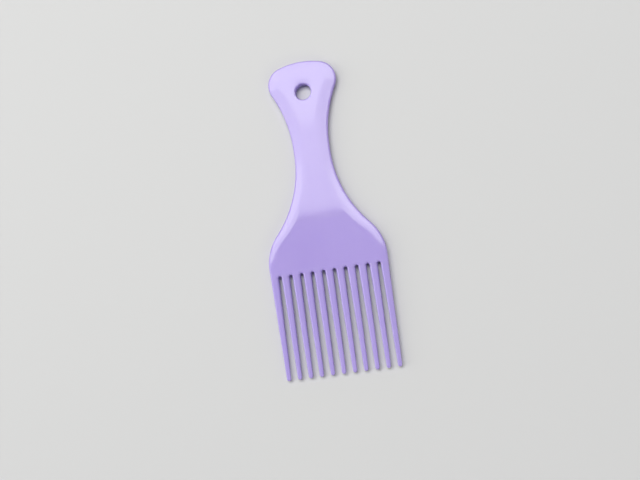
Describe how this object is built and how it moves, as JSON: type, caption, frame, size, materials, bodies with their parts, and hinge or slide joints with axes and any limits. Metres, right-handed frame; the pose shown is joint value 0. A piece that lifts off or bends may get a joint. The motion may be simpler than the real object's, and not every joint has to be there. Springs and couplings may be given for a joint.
{
  "type": "afro pick",
  "caption": "Flat one-piece hair pick with a waisted grip, a round hanging hole in a shallow dish, a bevelled head with round shoulders, and a row of long tapering tines.",
  "frame": {"origin": "middle of the pick's bounding box, on the plane of the flat back face that it lies on", "axes": "+X across the tines, +Y towards the handle's end with the hanging hole, +Z out of the front face"},
  "size_m": [0.0632, 0.167, 0.0046],
  "materials": {
    "lavender_plastic": "smooth, softly glossy and slightly translucent"
  },
  "bodies": {
    "root": {"handle_end": "lavender_plastic", "grip": "lavender_plastic", "head": "lavender_plastic", "tine_01": "lavender_plastic", "tine_02": "lavender_plastic", "tine_03": "lavender_plastic", "tine_04": "lavender_plastic", "tine_05": "lavender_plastic", "tine_06": "lavender_plastic", "tine_07": "lavender_plastic", "tine_08": "lavender_plastic", "tine_09": "lavender_plastic", "tine_10": "lavender_plastic", "tine_11": "lavender_plastic"}
  },
  "joints": []
}
